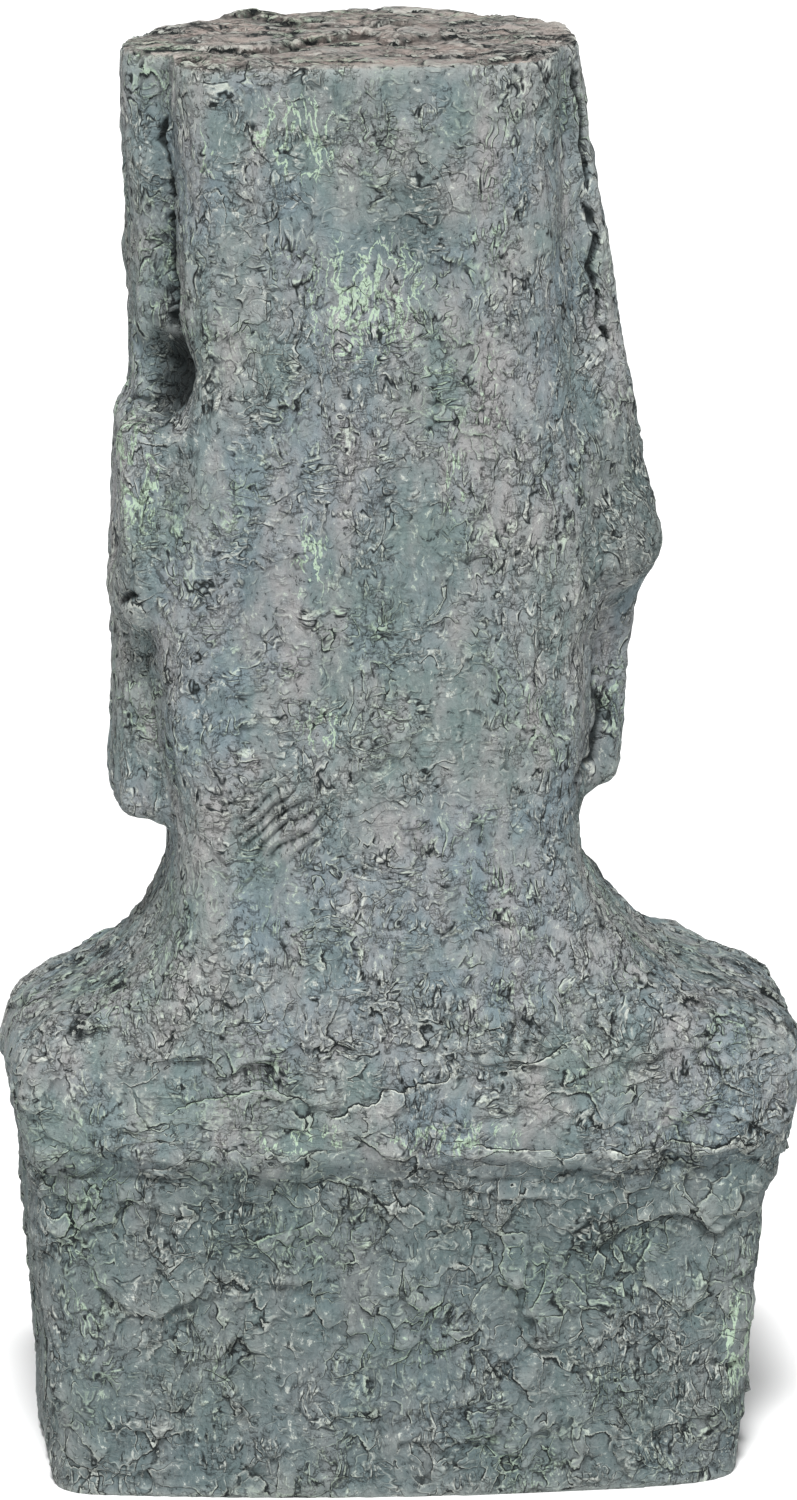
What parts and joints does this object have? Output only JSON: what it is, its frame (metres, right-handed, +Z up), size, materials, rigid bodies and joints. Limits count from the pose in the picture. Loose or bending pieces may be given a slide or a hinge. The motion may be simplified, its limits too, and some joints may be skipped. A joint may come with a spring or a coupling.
{
  "type": "moai statue",
  "caption": "Moai bust for the garden: a long flat-backed head with hanging ears on a short torso, cut flat at the crown and the base, in weathered stone finish.",
  "frame": {"origin": "centre of the bounding box, on the ground under the base", "axes": "+Z up, the face looks along -Y, +X towards the figure's own left"},
  "size_m": [0.2746, 0.158, 0.5],
  "materials": {
    "weathered_stone": "cast resin painted as rough weathered stone: slate blue-grey with mauve and sea-green patches, pale dry-brushed ridges and a dark wash in the cracks"
  },
  "bodies": {
    "root": {"moai_bust": "weathered_stone"}
  },
  "joints": []
}
